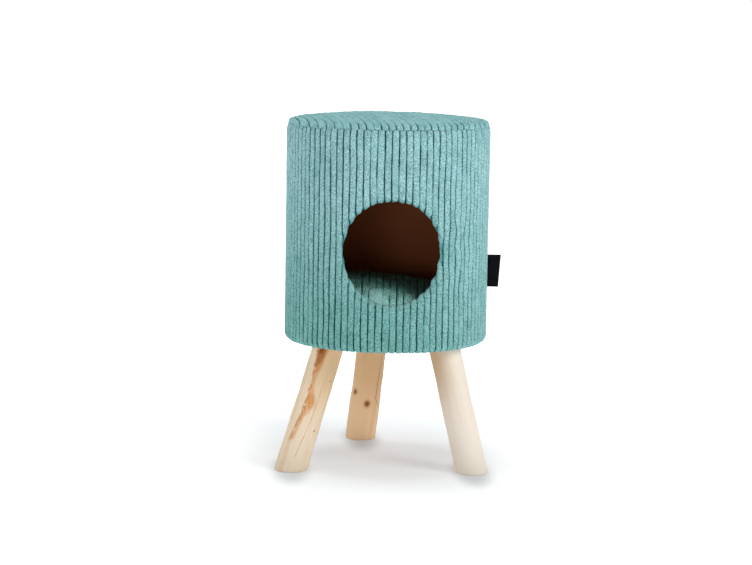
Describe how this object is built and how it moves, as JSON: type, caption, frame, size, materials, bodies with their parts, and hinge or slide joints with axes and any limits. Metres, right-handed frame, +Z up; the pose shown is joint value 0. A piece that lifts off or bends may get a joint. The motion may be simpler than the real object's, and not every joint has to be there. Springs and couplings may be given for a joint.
{
  "type": "pet cave bed",
  "caption": "Upright drum covered in wide-wale corduroy, with a round mouth and a cushion inside for a small pet, on splayed round wooden legs.",
  "frame": {"origin": "on the floor, under the middle of the part's box", "axes": "+Z up, the mouth faces -Y, and the side seam with its label is towards +X"},
  "size_m": [0.3428, 0.343, 0.533],
  "materials": {
    "corduroy": "soft teal wide-wale corduroy with a brushed pile",
    "brown_board": "matt dark brown fibreboard",
    "pale_wood": "sanded pale pine with knots and a resin streak",
    "black_ribbon": "plain black woven ribbon"
  },
  "bodies": {
    "root": {"side_cover": "corduroy", "top_pad": "corduroy", "cushion": "corduroy", "drum_wall": "brown_board", "top_board": "brown_board", "base_board": "brown_board", "side_label": "black_ribbon", "leg_left": "pale_wood", "leg_right": "pale_wood", "leg_back": "pale_wood"}
  },
  "joints": []
}
